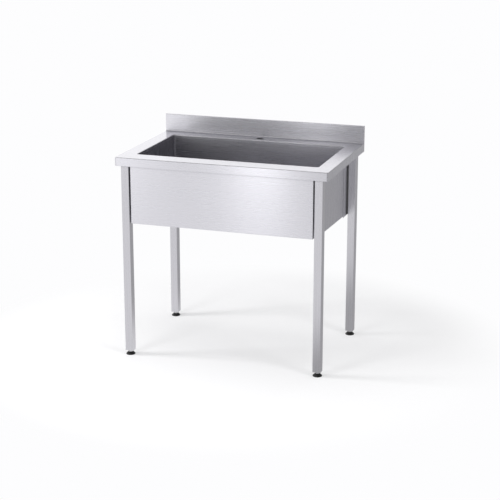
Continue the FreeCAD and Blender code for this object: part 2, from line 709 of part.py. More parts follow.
def strainer_stopper(bottom):
    """Rubber disc under the basket that closes the outlet."""
    radius = OUTLET_RADIUS - OUTLET_WALL + STOPPER_OVERLAP
    top = bottom + STOPPER_THICKNESS
    edge = STOPPER_THICKNESS / 5
    profile = [
        (0, bottom),
        (radius - edge, bottom),
        (radius, bottom + edge),
        (radius - 2 * edge, top),
        (0, top),
    ]
    return revolved(profile)


# ---- Assembly ----
def leg_sets():
    """Leg, bracket, plug, spindle and pad for each corner, and the legs' screws."""
    parts = {}
    screws = []
    for corner, (side_x, side_y) in CORNERS.items():
        x = side_x * LEG_X
        y = side_y * LEG_Y
        parts["leg_" + corner] = moved(leg(side_x), x, y)
        parts["leg_bracket_" + corner] = moved(leg_bracket(side_x), x, y)
        parts["leg_plug_" + corner] = moved(leg_plug(), x, y)
        parts["foot_stem_" + corner] = moved(foot_stem(), x, y)
        parts["foot_pad_" + corner] = moved(foot_pad(), x, y)
        screws.append(moved(leg_screw(side_x), x, y))
    parts["leg_screws"] = Part.makeCompound(screws)
    return parts


def waste_set():
    stopper_seat = CUP_WALL - CUP_DEPTH
    basket_seat = stopper_seat + STOPPER_THICKNESS
    parts = {"waste_body": waste_body()}
    parts.update(seals_and_locknut())
    parts["strainer_stopper"] = strainer_stopper(stopper_seat)
    parts["strainer_basket"] = strainer_basket(basket_seat)
    parts["strainer_knob"] = strainer_knob(basket_seat)
    return {name: moved(shape, 0, DRAIN_Y, LANDING_LEVEL) for name, shape in parts.items()}


def all_parts():
    cap_x = HALF_LENGTH - WORKTOP_SHEET / 2
    parts = {
        "worktop": worktop(),
        "upstand_end_cap_left": moved(upstand_end_cap(), -cap_x, 0),
        "upstand_end_cap_right": moved(upstand_end_cap(), cap_x, 0),
        "basin": basin(),
        "front_rail": long_rail(-1),
        "rear_rail": long_rail(1),
        "left_rail": moved(side_rail(), -LEG_X, 0),
        "right_rail": moved(side_rail(), LEG_X, 0),
        "front_apron": folded_pan(APRON_X, APRON_BOTTOM, APRON_RETURN),
        "rear_apron": rear_apron(),
        "apron_bolts": apron_bolts(),
    }
    parts.update(leg_sets())
    parts.update(waste_set())
    return parts


def main():
    os.makedirs("parts", exist_ok=True)
    for name, shape in all_parts().items():
        if not shape.isValid():
            raise ValueError(name + " is not a valid solid")
        shape.exportStep("parts/" + name + ".step")
        print(name, "solids", len(shape.Solids), "volume", round(shape.Volume, 1))


main()
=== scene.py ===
import json
import logging
import math
from dataclasses import dataclass, field
from enum import Enum
from typing import Any, Sequence

import bmesh
import bpy
from mathutils import Matrix, Vector


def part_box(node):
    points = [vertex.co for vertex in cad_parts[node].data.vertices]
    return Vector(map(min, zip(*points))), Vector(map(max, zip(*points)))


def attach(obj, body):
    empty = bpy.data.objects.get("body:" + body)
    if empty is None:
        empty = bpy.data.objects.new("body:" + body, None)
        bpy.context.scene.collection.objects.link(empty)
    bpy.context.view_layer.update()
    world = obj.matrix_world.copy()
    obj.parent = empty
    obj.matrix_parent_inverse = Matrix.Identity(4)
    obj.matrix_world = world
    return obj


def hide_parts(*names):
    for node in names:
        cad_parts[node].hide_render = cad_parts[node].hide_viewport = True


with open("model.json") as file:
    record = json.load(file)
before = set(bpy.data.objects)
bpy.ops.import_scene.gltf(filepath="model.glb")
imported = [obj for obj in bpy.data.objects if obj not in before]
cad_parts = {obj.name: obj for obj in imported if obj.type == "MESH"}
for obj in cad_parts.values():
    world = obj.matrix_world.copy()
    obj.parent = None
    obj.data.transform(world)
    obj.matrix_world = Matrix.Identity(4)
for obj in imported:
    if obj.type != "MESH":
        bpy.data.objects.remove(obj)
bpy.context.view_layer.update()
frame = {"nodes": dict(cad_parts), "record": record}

log = logging.getLogger("laundry_sink")

MM = 0.001
WHITE = (1.0, 1.0, 1.0, 1.0)
NOISE_LOW, NOISE_HIGH = 0.3, 0.7  # nearly all values of a Noise Texture lie between these
CORNERS = {
    "front_left": (-1, -1),
    "front_right": (1, -1),
    "rear_right": (1, 1),
    "rear_left": (-1, 1),
}


# ---- Colours and nodes ----
def linear_colour(code: str) -> tuple[float, float, float, float]:
    """Turn an sRGB hex colour into linear light.

    Args:
        code: The colour as "#RRGGBB".

    Returns:
        Red, green, blue and an alpha of 1, linear.
    """
    parts = [int(code[i:i + 2], 16) / 255 for i in (1, 3, 5)]
    light = [c / 12.92 if c <= 0.04045 else ((c + 0.055) / 1.055) ** 2.4 for c in parts]
    return light[0], light[1], light[2], 1.0


def add_node(
    tree: bpy.types.NodeTree,
    kind: str,
    settings: dict[str, Any] | None = None,
    inputs: dict[Any, Any] | None = None,
) -> bpy.types.Node:
    """Add a node with its settings, input values and links.

    Args:
        tree: The tree that gets the node.
        kind: Blender's name for the kind of node.
        settings: Properties of the node by name.
        inputs: Input sockets by name or number; a socket given as the value is linked.

    Returns:
        The new node.
    """
    node = tree.nodes.new(kind)
    for name, value in (settings or {}).items():
        setattr(node, name, value)
    for key, value in (inputs or {}).items():
        if isinstance(value, bpy.types.NodeSocket):
            tree.links.new(value, node.inputs[key])
        else:
            node.inputs[key].default_value = value
    return node


def new_material(name: str) -> bpy.types.Material:
    """Make a material with an empty node tree."""
    material = bpy.data.materials.new(name)
    material.use_nodes = True
    material.node_tree.nodes.clear()
    return material


def mixed(
    tree: bpy.types.NodeTree, kind: str, factor: Any, first: Any, second: Any
) -> bpy.types.NodeSocket:
    """Mix two colours, vectors or numbers.

    Args:
        tree: The tree that gets the node.
        kind: "RGBA", "VECTOR" or "FLOAT".
        factor: How much of the second value is taken, 0 to 1.
        first: The value at a factor of 0.
        second: The value at a factor of 1.

    Returns:
        The socket with the result.
    """
    node = add_node(tree, "ShaderNodeMix", {"data_type": kind})
    ports = [s for s in node.inputs if s.enabled]
    for socket, value in zip(ports, (factor, first, second)):
        if isinstance(value, bpy.types.NodeSocket):
            tree.links.new(value, socket)
        else:
            socket.default_value = value
    return next(s for s in node.outputs if s.enabled)


# ---- Finishes ----
class Grain(Enum):
    """Which way the polishing lines of a steel finish run."""

    ALONG_SHEET = (1.0, 0.0, 0.0)
    ALONG_TUBE = (0.0, 0.0, 1.0)


@dataclass(frozen=True)
class SatinSteel:
    """Stainless steel (1.4301) polished with an abrasive belt, so fine scratches run one way.

    The scratches spread a highlight across the grain and leave faint light and dark lines along
    it. Each pass of the belt leaves a broad band that is a little lighter or darker. Gaps and
    inner corners get painted shade: the base colour darkens where ambient occlusion finds them.

    Attributes:
        name: The material's name.
        grain: Which way the scratches run.
        light: Lightest colour of the steel.
        dark: Darkest colour of the steel.
        roughness: Roughness on upright faces.
        anisotropy: How much wider a highlight is across the grain.
        line_pitch: Distance between lines; the real scratches, 0.1 mm apart, are too fine to show.
        line_length: Length of a line.
        groove_depth: Depth of a line.
        groove_strength: Share of that depth that the shading shows.
        rough_swing: How far the roughness goes up and down along the lines, as a share.
        band_width: Width of a band.
        band_height: Length of a band.
        band_depth: Distance in depth after which a band has changed.
        band_share: Weight of the bands against the lines.
        tone_range: Sums of lines and bands that give the darkest and the lightest colour.
        top_share: Roughness of faces that look up, as a share of the upright ones'.
        corner: Colour of the painted shade in gaps and inner corners.
        painted_shade_reach: How near another face has to be for the painted shade.
        painted_shade_range: Openness that gets the full painted shade, and openness that gets none.
    """

    name: str
    grain: Grain
    light: str
    dark: str
    roughness: float
    anisotropy: float
    line_pitch: float = 3.0 * MM
    line_length: float = 260.0 * MM
    groove_depth: float = 0.012 * MM
    groove_strength: float = 0.15
    rough_swing: float = 0.07
    band_width: float = 85.0 * MM
    band_height: float = 1190.0 * MM
    band_depth: float = 1190.0 / 3 * MM
    band_share: float = 0.35
    tone_range: tuple[float, float] = (0.3, 1.05)
    top_share: float = 0.62
    # painted shade: colour that the ambient-occlusion mask mixes into gaps and inner corners
    corner: str = "#6E6E72"
    painted_shade_reach: float = 22.0 * MM
    painted_shade_range: tuple[float, float] = (0.25, 0.8)

    def material(self) -> bpy.types.Material:
        """Build the node tree of the finish."""
        material = new_material(self.name)
        tree = material.node_tree
        normal = add_node(tree, "ShaderNodeNewGeometry").outputs["Normal"]
        side = self._faces_sideways(tree, normal)
        along = mixed(tree, "VECTOR", side, self.grain.value, Grain.ALONG_TUBE.value)
        across = add_node(
            tree, "ShaderNodeVectorMath", {"operation": "CROSS_PRODUCT"}, {0: normal, 1: along}
        ).outputs["Vector"]
        lines = self._lines(tree, side)
        tone = add_node(
            tree, "ShaderNodeMath", {"operation": "MULTIPLY_ADD"},
            {0: self._bands(tree), 1: self.band_share, 2: lines},
        ).outputs[0]
        darkest, lightest = self.tone_range
        share = add_node(
            tree, "ShaderNodeMapRange", None,
            {"Value": tone, "From Min": darkest, "From Max": lightest},
        ).outputs[0]
        colour = mixed(tree, "RGBA", share, linear_colour(self.dark), linear_colour(self.light))
        # painted shade: the base colour turns to the corner colour in gaps and inner corners
        colour = mixed(tree, "RGBA", self._painted_shade_in_corners(tree), linear_colour(self.corner), colour)
        rough = add_node(
            tree, "ShaderNodeMapRange", None,
            {
                "Value": lines, "From Min": NOISE_LOW, "From Max": NOISE_HIGH,
                "To Min": self.roughness * (1 - self.rough_swing),
                "To Max": self.roughness * (1 + self.rough_swing),
            },
        ).outputs[0]
        rough = add_node(
            tree, "ShaderNodeMath", {"operation": "MULTIPLY"},
            {0: rough, 1: self._finer_on_top(tree, normal)},
        ).outputs[0]
        bump = add_node(
            tree, "ShaderNodeBump", None,
            {"Strength": self.groove_strength, "Distance": self.groove_depth, "Height": lines},
        ).outputs[0]
        shader = add_node(
            tree, "ShaderNodeBsdfPrincipled", None,
            {
                "Base Color": colour, "Metallic": 1.0, "Roughness": rough,
                "Anisotropic": self.anisotropy, "Tangent": across, "Normal": bump,
            },
        )
        add_node(tree, "ShaderNodeOutputMaterial", None, {"Surface": shader.outputs[0]})
        return material

    def _painted_shade_in_corners(self, tree: bpy.types.NodeTree) -> bpy.types.NodeSocket:
        """Paint shade into the gaps and inner corners that ambient occlusion finds.

        Args:
            tree: The material's tree.

        Returns:
            A socket from 0 in a gap to 1 on an open face.
        """
        # ambient occlusion decides where shade is painted into the colour
        openness = add_node(
            tree, "ShaderNodeAmbientOcclusion", {"samples": 6}, {"Distance": self.painted_shade_reach}
        ).outputs["AO"]
        closed, clear = self.painted_shade_range
        return add_node(
            tree, "ShaderNodeMapRange", {"interpolation_type": "SMOOTHSTEP"},
            {"Value": openness, "From Min": closed, "From Max": clear},
        ).outputs[0]

    def _faces_sideways(
        self, tree: bpy.types.NodeTree, normal: bpy.types.NodeSocket
    ) -> bpy.types.NodeSocket:
        """Tell the faces that look along X, where a sheet's grain has been folded down.

        Args:
            tree: The material's tree.
            normal: The face's normal.

        Returns:
            A socket that is 1 on such faces and 0 elsewhere.
        """
        x = add_node(tree, "ShaderNodeSeparateXYZ", None, {0: normal}).outputs["X"]
        size = add_node(tree, "ShaderNodeMath", {"operation": "ABSOLUTE"}, {0: x}).outputs[0]
        sideways_enough = 0.7
        return add_node(
            tree, "ShaderNodeMath", {"operation": "GREATER_THAN"}, {0: size, 1: sideways_enough}
        ).outputs[0]

    def _finer_on_top(
        self, tree: bpy.types.NodeTree, normal: bpy.types.NodeSocket
    ) -> bpy.types.NodeSocket:
        """Make the faces that look up smoother, where the last belt has run flat.

        Args:
            tree: The material's tree.
            normal: The face's normal.

        Returns:
            A socket with the factor of the roughness.
        """
        z = add_node(tree, "ShaderNodeSeparateXYZ", None, {0: normal}).outputs["Z"]
        upright, flat = 0.2, 0.9
        return add_node(
            tree, "ShaderNodeMapRange", None,
            {
                "Value": z, "From Min": upright, "From Max": flat,
                "To Min": 1.0, "To Max": self.top_share,
            },
        ).outputs[0]

    def _lines(self, tree: bpy.types.NodeTree, side: bpy.types.NodeSocket) -> bpy.types.NodeSocket:
        """Draw the polishing lines.

        Args:
            tree: The material's tree.
            side: 1 on the faces that look along X.

        Returns:
            A socket from 0 to 1 that follows the lines.
        """
        place = add_node(tree, "ShaderNodeTexCoord").outputs["Object"]
        fine, long = 1 / self.line_pitch, 1 / self.line_length
        scales = {
            Grain.ALONG_SHEET: (long, fine, fine),
            Grain.ALONG_TUBE: (fine, fine, long),
        }
        flat, turned = (
            add_node(
                tree, "ShaderNodeVectorMath", {"operation": "MULTIPLY"}, {0: place, 1: scale}
            ).outputs["Vector"]
            for scale in (scales[self.grain], scales[Grain.ALONG_TUBE])
        )
        where = mixed(tree, "VECTOR", side, flat, turned)
        return add_node(
            tree, "ShaderNodeTexNoise", None,
            {"Vector": where, "Scale": 1.0, "Detail": 5.0, "Roughness": 0.62},
        ).outputs[0]

    def _bands(self, tree: bpy.types.NodeTree) -> bpy.types.NodeSocket:
        """Draw the broad bands that the belt leaves, upright on a sheet."""
        place = add_node(tree, "ShaderNodeTexCoord").outputs["Object"]
        sizes = (self.band_width, self.band_depth, self.band_height)
        stretched = add_node(
            tree, "ShaderNodeVectorMath", {"operation": "DIVIDE"}, {0: place, 1: sizes}
        ).outputs["Vector"]
        return add_node(
            tree, "ShaderNodeTexNoise", None,
            {"Vector": stretched, "Scale": 1.0, "Detail": 1.0, "Roughness": 0.4},
        ).outputs[0]


@dataclass(frozen=True)
class MottledSurface:
    """A surface without a direction: mill-finish steel, turned steel, moulded plastic or rubber.

    Attributes:
        name: The material's name.
        light: Colour of the lightest spots.
        dark: Colour of the darkest spots.
        metallic: 1 for a metal, 0 for anything else.
        roughness: Mean roughness.
        mottle: Distance between spots.
        grain_depth: Depth of the fine texture.
        ior: Refractive index; metals leave it alone.
        rough_swing: How far the roughness goes up and down, as a share.
        grain_strength: Share of the texture's depth that the shading shows.
    """

    name: str
    light: str
    dark: str
    metallic: float
    roughness: float
    mottle: float
    grain_depth: float
    ior: float = 1.5
    rough_swing: float = 0.15
    grain_strength: float = 0.4

    def material(self) -> bpy.types.Material:
        """Build the node tree of the finish."""
        material = new_material(self.name)
        tree = material.node_tree
        place = add_node(tree, "ShaderNodeTexCoord").outputs["Object"]
        cloud = add_node(
            tree, "ShaderNodeTexNoise", None,
            {"Vector": place, "Scale": 1 / self.mottle, "Detail": 4.0, "Roughness": 0.6},
        ).outputs[0]
        colour = mixed(tree, "RGBA", cloud, linear_colour(self.dark), linear_colour(self.light))
        rough = add_node(
            tree, "ShaderNodeMapRange", None,
            {
                "Value": cloud, "From Min": NOISE_LOW, "From Max": NOISE_HIGH,
                "To Min": self.roughness * (1 - self.rough_swing),
                "To Max": self.roughness * (1 + self.rough_swing),
            },
        ).outputs[0]
        bump = add_node(
            tree, "ShaderNodeBump", None,
            {"Strength": self.grain_strength, "Distance": self.grain_depth, "Height": cloud},
        ).outputs[0]
        values = {
            "Base Color": colour, "Metallic": self.metallic, "Roughness": rough, "Normal": bump,
        }
        if self.metallic < 1.0:
            values["IOR"] = self.ior
        shader = add_node(tree, "ShaderNodeBsdfPrincipled", None, values)
        add_node(tree, "ShaderNodeOutputMaterial", None, {"Surface": shader.outputs[0]})
        return material


# Stainless sheet, belt-polished along its length: pale reflections, drawn out up and down.
SHEET_STEEL = SatinSteel(
    "stainless_sheet_satin_polished", Grain.ALONG_SHEET, "#E3E2E8", "#DAD9DF", 0.28, 0.9
)
# The tub's sheet, ground once more after welding: the same grain, a little greyer.
TUB_STEEL = SatinSteel(
    "stainless_sheet_ground_after_welding", Grain.ALONG_SHEET, "#D8D7DD", "#CBCAD0", 0.28, 0.88
)
# Welded square tube, polished along the tube: a soft streak of light runs up each face.
TUBE_STEEL = SatinSteel(
    "stainless_square_tube_satin_polished", Grain.ALONG_TUBE, "#D9D8DD", "#D1D0D5", 0.28, 0.75
)
# Cold-rolled stainless as it leaves the mill: dull, slightly cloudy grey.
MILL_STEEL = MottledSurface(
    "stainless_sheet_cold_rolled", "#C9C9CC", "#B2B2B6", 1.0, 0.42, 9.0 * MM, 0.01 * MM
)
# Stainless bar, turned and thread-rolled: bright and smooth.
TURNED_STEEL = MottledSurface(
    "stainless_bar_turned", "#DADADC", "#C2C2C5", 1.0, 0.24, 3.0 * MM, 0.004 * MM
)
# Stainless sheet, deep-drawn and buffed: nearly mirror bright with a faint haze.
PRESSED_STEEL = MottledSurface(
    "stainless_pressing_buffed", "#E6E6E8", "#D6D6D9", 1.0, 0.2, 12.0 * MM, 0.004 * MM
)
# Polyamide, injection-moulded with a fine spark-eroded texture: black with a soft sheen.
NYLON = MottledSurface(
    "polyamide_moulded_black", "#232324", "#161617", 0.0, 0.5, 1.2 * MM, 0.03 * MM, 1.53
)
# Polypropylene, injection-moulded: matt grey with a waxy highlight.
POLYPROPYLENE = MottledSurface(
    "polypropylene_moulded_grey", "#8C8D90", "#7C7D80", 0.0, 0.45, 1.5 * MM, 0.02 * MM, 1.49
)
# EPDM rubber, compression-moulded: matt, slightly dusty black.
RUBBER = MottledSurface(
    "epdm_rubber_moulded", "#2A2A2B", "#1D1D1E", 0.0, 0.75, 2.0 * MM, 0.02 * MM, 1.52
)

FINISH_OF_SLOT = {
    "satin_sheet": SHEET_STEEL,
    "leg_tube": TUBE_STEEL,
    "frame_steel": MILL_STEEL,
    "fastener_steel": TURNED_STEEL,
    "waste_steel": PRESSED_STEEL,
    "black_nylon": NYLON,
    "grey_plastic": POLYPROPYLENE,
    "seal_rubber": RUBBER,
}
FINISH_OF_NODE = {"basin": TUB_STEEL}  # nodes that differ from the rest of their slot


@dataclass
class Finishes:
    """The materials of the sink, made once and shared by its pieces."""

    made: dict[str, bpy.types.Material] = field(default_factory=dict)

    def of(self, slot: str) -> bpy.types.Material:
        """Give the material of one of the record's slots.

        Args:
            slot: The slot's name.

        Returns:
            The material, made at the first call.
        """
        if slot not in self.made:
            self.made[slot] = FINISH_OF_SLOT[slot].material()
        return self.made[slot]

    def dress_solids(self) -> None:
        """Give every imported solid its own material, or else that of its slot."""
        for part in frame["record"]["subparts"]:
            solid = frame["nodes"][part["node"]]
            own = FINISH_OF_NODE.get(part["node"])
            solid.data.materials.clear()
            solid.data.materials.append(own.material() if own else self.of(part["material_slot"]))
            log.info("dressed %s in %s", part["node"], part["material_slot"])


# ---- Meshes ----
def ring_of_points(bm: bmesh.types.BMesh, radii: Sequence[float], heights: Sequence[float]) -> list:
    """Add a closed loop of vertices round Z.

    Args:
        bm: The mesh being made.
        radii: Distance from the axis for each vertex.
        heights: Height of each vertex.

    Returns:
        The vertices in order.
    """
    step = 2 * math.pi / len(radii)
    return [
        bm.verts.new((r * math.cos(i * step), r * math.sin(i * step), z))
        for i, (r, z) in enumerate(zip(radii, heights))
    ]


def lathe(bm: bmesh.types.BMesh, loops: Sequence[list]) -> None:
    """Join loops of vertices into a closed skin.

    Args:
        bm: The mesh being made.
        loops: Loops from ring_of_points, in order along the skin; the first and last are capped.
    """
    for below, above in zip(loops, loops[1:]):
        for i in range(len(below)):
            j = (i + 1) % len(below)
            bm.faces.new((below[i], below[j], above[j], above[i]))
    bm.faces.new(loops[0][::-1])
    bm.faces.new(loops[-1])
    bmesh.ops.recalc_face_normals(bm, faces=bm.faces)


def hexagon_radii(across_flats: float, sides: int, limit: float) -> list[float]:
    """Distance of a hexagon's outline from its centre, cut back to a circle.

    Args:
        across_flats: Size over the flats.
        sides: How many points go round.
        limit: Radius of the circle that trims the corners.

    Returns:
        One distance for each point.
    """
    radii = []
    for i in range(sides):
        turn = (math.degrees(2 * math.pi * i / sides) % 60) - 30
        radii.append(min(across_flats / 2 / math.cos(math.radians(turn)), limit))
    return radii


def new_piece(
    name: str, bm: bmesh.types.BMesh, material: bpy.types.Material, smooth_angle: float = 40.0
) -> bpy.types.Object:
    """Make an object at the origin from a finished mesh.

    Args:
        name: Name of the piece.
        bm: The mesh, freed here.
        material: Its finish.
        smooth_angle: Edges sharper than this angle in degrees stay sharp.

    Returns:
        The new object, linked to the scene.
    """
    mesh = bpy.data.meshes.new(name)
    for edge in bm.edges:
        edge.smooth = edge.calc_face_angle(0.0) < math.radians(smooth_angle)
    bm.to_mesh(mesh)
    bm.free()
    mesh.polygons.foreach_set("use_smooth", [True] * len(mesh.polygons))
    mesh.materials.append(material)
    piece = bpy.data.objects.new(name, mesh)
    bpy.context.scene.collection.objects.link(piece)
    return piece


def placed_copy(source: bpy.types.Object, name: str, place: Vector) -> bpy.types.Object:
    """Copy a piece with the place in its mesh.

    Args:
        source: The piece to copy.
        name: Name of the copy.
        place: How far the copy's mesh is moved.

    Returns:
        The copy, linked to the scene.
    """
    mesh = source.data.copy()
    mesh.name = name
    mesh.transform(Matrix.Translation(place))
    copy = bpy.data.objects.new(name, mesh)
    bpy.context.scene.collection.objects.link(copy)
    return copy


# ---- Geometry Nodes ----
THREAD_STEPS = 20  # points in one turn of a thread
RIDGE_SIDES = 4  # a square wire on its edge gives the ridge its V


@dataclass
class NodeRecipe:
    """A Geometry Nodes tree with named inputs, run once and turned into a plain mesh."""

    name: str
    tree: bpy.types.NodeTree = field(init=False)
    start: bpy.types.Node = field(init=False)

    def __post_init__(self) -> None:
        """Make the empty tree with a geometry output."""
        self.tree = bpy.data.node_groups.new(self.name, "GeometryNodeTree")
        self.tree.interface.new_socket(
            "Geometry", in_out="OUTPUT", socket_type="NodeSocketGeometry"
        )
        self.start = self.tree.nodes.new("NodeGroupInput")

    def size(self, name: str, kind: str = "NodeSocketFloat") -> bpy.types.NodeSocket:
        """Add a named input.

        Args:
            name: Name of the size, object or finish.
            kind: Blender's name for the kind of socket.

        Returns:
            The socket that carries it inside the tree.
        """
        self.tree.interface.new_socket(name, in_out="INPUT", socket_type=kind)
        return self.start.outputs[name]

    def end(self, geometry: bpy.types.NodeSocket, finish: bpy.types.NodeSocket) -> None:
        """Close the tree with Realize Instances and Set Material.

        Args:
            geometry: What the tree makes.
            finish: The material input.
        """
        real = add_node(self.tree, "GeometryNodeRealizeInstances", None, {0: geometry})
        dressed = add_node(
            self.tree, "GeometryNodeSetMaterial", None,
            {"Geometry": real.outputs[0], "Material": finish},
        )
        add_node(self.tree, "NodeGroupOutput", None, {0: dressed.outputs[0]})

    def run(self, name: str, values: dict[str, Any]) -> bpy.types.Object:
        """Run the tree and keep the result as a plain mesh.

        Args:
            name: Name of the new piece.
            values: Value of each named input.

        Returns:
            The piece, linked to the scene, at the origin and without modifiers.
        """
        holder = bpy.data.objects.new(name + "_source", bpy.data.meshes.new(name + "_source"))
        bpy.context.scene.collection.objects.link(holder)
        modifier = holder.modifiers.new(self.name, "NODES")
        modifier.node_group = self.tree
        for item in self.tree.interface.items_tree:
            if item.item_type == "SOCKET" and item.in_out == "INPUT":
                modifier[item.identifier] = values[item.name]
        evaluated = holder.evaluated_get(bpy.context.evaluated_depsgraph_get())
        mesh = bpy.data.meshes.new_from_object(evaluated)
        mesh.name = name
        holder.modifiers.clear()
        bpy.data.objects.remove(holder)
        piece = bpy.data.objects.new(name, mesh)
        bpy.context.scene.collection.objects.link(piece)
        return piece


def thread_recipe() -> NodeRecipe:
    """A screw thread: one ridge wound round a core.

    Returns:
        The recipe, with the inputs Core radius, Ridge, Pitch, Start, Length and Finish.
    """
    recipe = NodeRecipe("rolled_thread")
    tree = recipe.tree
    core = recipe.size("Core radius")
    ridge = recipe.size("Ridge")
    pitch = recipe.size("Pitch")
    start = recipe.size("Start")
    length = recipe.size("Length")
    finish = recipe.size("Finish", "NodeSocketMaterial")
    turns = add_node(tree, "ShaderNodeMath", {"operation": "DIVIDE"}, {0: length, 1: pitch})
    helix = add_node(
        tree, "GeometryNodeCurveSpiral", None,
        {
            "Resolution": THREAD_STEPS, "Rotations": turns.outputs[0], "Start Radius": core,
            "End Radius": core, "Height": length,
        },
    )
    upright = add_node(
        tree, "GeometryNodeSetCurveNormal", {"mode": "Z_UP"}, {"Curve": helix.outputs[0]}
    )
    profile = add_node(
        tree, "GeometryNodeCurvePrimitiveCircle", {"mode": "RADIUS"},
        {"Resolution": RIDGE_SIDES, "Radius": ridge},
    )
    wound = add_node(
        tree, "GeometryNodeCurveToMesh", None,
        {"Curve": upright.outputs[0], "Profile Curve": profile.outputs[0], "Fill Caps": True},
    )
    lift = add_node(tree, "ShaderNodeCombineXYZ", None, {"Z": start})
    moved = add_node(
        tree, "GeometryNodeTransform", None,
        {"Geometry": wound.outputs[0], "Translation": lift.outputs[0]},
    )
    flat = add_node(
        tree, "GeometryNodeSetShadeSmooth", None,
        {"Geometry": moved.outputs[0], "Shade Smooth": False},
    )
    recipe.end(flat.outputs[0], finish)
    return recipe


def grid_recipe() -> NodeRecipe:
    """Copies of one piece in rows and columns, each turned to face away from the middle.

    Returns:
        The recipe, with the inputs Piece, Columns, Rows, Width, Depth, Height, Turn with X and
        Finish.
    """
    recipe = NodeRecipe("fasteners_in_rows")
    tree = recipe.tree
    piece = recipe.size("Piece", "NodeSocketObject")
    columns = recipe.size("Columns", "NodeSocketInt")
    rows = recipe.size("Rows", "NodeSocketInt")
    width = recipe.size("Width")
    depth = recipe.size("Depth")
    height = recipe.size("Height")
    turn_with_x = recipe.size("Turn with X", "NodeSocketBool")
    finish = recipe.size("Finish", "NodeSocketMaterial")
    grid = add_node(
        tree, "GeometryNodeMeshGrid", None,
        {"Size X": width, "Size Y": depth, "Vertices X": columns, "Vertices Y": rows},
    )
    place = add_node(tree, "GeometryNodeInputPosition").outputs[0]
    parts = add_node(tree, "ShaderNodeSeparateXYZ", None, {0: place})
    chosen = add_node(
        tree, "GeometryNodeSwitch", {"input_type": "FLOAT"},
        {"Switch": turn_with_x, "False": parts.outputs["Y"], "True": parts.outputs["X"]},
    ).outputs[0]
    beyond = add_node(
        tree, "ShaderNodeMath", {"operation": "GREATER_THAN"}, {0: chosen, 1: 0.0}
    ).outputs[0]
    angle = add_node(tree, "ShaderNodeMath", {"operation": "MULTIPLY"}, {0: beyond, 1: math.pi})
    turn = add_node(tree, "ShaderNodeCombineXYZ", None, {"Z": angle.outputs[0]})
    pattern = add_node(tree, "GeometryNodeObjectInfo", None, {"Object": piece, "As Instance": True})
    copies = add_node(
        tree, "GeometryNodeInstanceOnPoints", None,
        {
            "Points": grid.outputs["Mesh"], "Instance": pattern.outputs["Geometry"],
            "Rotation": turn.outputs[0],
        },
    )
    lift = add_node(tree, "ShaderNodeCombineXYZ", None, {"Z": height})
    moved = add_node(
        tree, "GeometryNodeTransform", None,
        {"Geometry": copies.outputs[0], "Translation": lift.outputs[0]},
    )
    recipe.end(moved.outputs[0], finish)
    return recipe


# ---- Sub-assemblies ----
@dataclass
class LevellingFoot:
    """Threaded spindle with a chamfered hexagon collar, one for each leg."""

    across_flats: float = 19.0 * MM
    collar_height: float = 6.5 * MM
    spindle_radius: float = 5.0 * MM
    thread_depth: float = 0.9 * MM
    thread_pitch: float = 1.5 * MM
    pin_radius: float = 6.15 * MM
    pin_length: float = 6.5 * MM
    neck: float = 2.0 * MM
    collar_trim: float = 1.13  # turned corners of the collar, against half its flats
    collar_face: float = 0.97  # flat top of the collar, against half its flats
    collar_slope: float = math.radians(30)
    tip_chamfer: float = 0.8 * MM
    sides: int = 48

    def build(self, finishes: Finishes) -> None:
        """Make the four spindles and let each ride with its foot.

        Args:
            finishes: The sink's materials.
        """
        steel = finishes.of("fastener_steel")
        low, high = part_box("foot_stem_front_left")
        collar_low = low.z + self.pin_length
        pattern = self._solid_part(steel, low.z, collar_low, high.z)
        thread = thread_recipe().run(
            "spindle_thread",
            {
                "Core radius": self.spindle_radius - self.thread_depth,
                "Ridge": self.thread_depth,
                "Pitch": self.thread_pitch,
                "Start": collar_low + self.collar_height + self.neck,
                "Length": high.z - collar_low - self.collar_height - 2 * self.neck,
                "Finish": steel,
            },
        )
        joined = bmesh.new()
        for source in (pattern, thread):
            joined.from_mesh(source.data)
            bpy.data.objects.remove(source)
        whole = new_piece("spindle_pattern", joined, steel)
        for corner in CORNERS:
            low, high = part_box("foot_stem_" + corner)
            centre = (low + high) / 2
            place = Vector((centre.x, centre.y, 0))
            piece = placed_copy(whole, "threaded_spindle_" + corner, place)
            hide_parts("foot_stem_" + corner)
            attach(piece, "spindle_" + corner)
            log.info("made %s", piece.name)
        bpy.data.objects.remove(whole)

    def _solid_part(
        self, steel: bpy.types.Material, pin_low: float, collar_low: float, tip: float
    ) -> bpy.types.Object:
        """Make pin, collar and the spindle's core about the Z axis.

        Args:
            steel: The finish.
            pin_low: Height of the pin's lower end.
            collar_low: Height of the collar's underside.
            tip: Height of the spindle's upper end.

        Returns:
            The solid part of a spindle.
        """
        sides = self.sides
        bm = bmesh.new()
        flat = self.across_flats / 2
        face = flat * self.collar_face
        corner = hexagon_radii(self.across_flats, sides, flat * self.collar_trim)
        fall = [(r - face) * math.tan(self.collar_slope) for r in corner]
        collar_top = collar_low + self.collar_height
        core = self.spindle_radius - self.thread_depth
        loops = [
            ring_of_points(bm, [self.pin_radius] * sides, [pin_low] * sides),
            ring_of_points(bm, [self.pin_radius] * sides, [collar_low] * sides),
            ring_of_points(bm, corner, [collar_low] * sides),
            ring_of_points(bm, corner, [collar_top - f for f in fall]),
            ring_of_points(bm, [face] * sides, [collar_top] * sides),
            ring_of_points(bm, [core] * sides, [collar_top] * sides),
            ring_of_points(bm, [core] * sides, [tip - self.tip_chamfer] * sides),
            ring_of_points(bm, [core - self.tip_chamfer] * sides, [tip] * sides),
        ]
        lathe(bm, loops)
        return new_piece("spindle_core", bm, steel, smooth_angle=25.0)


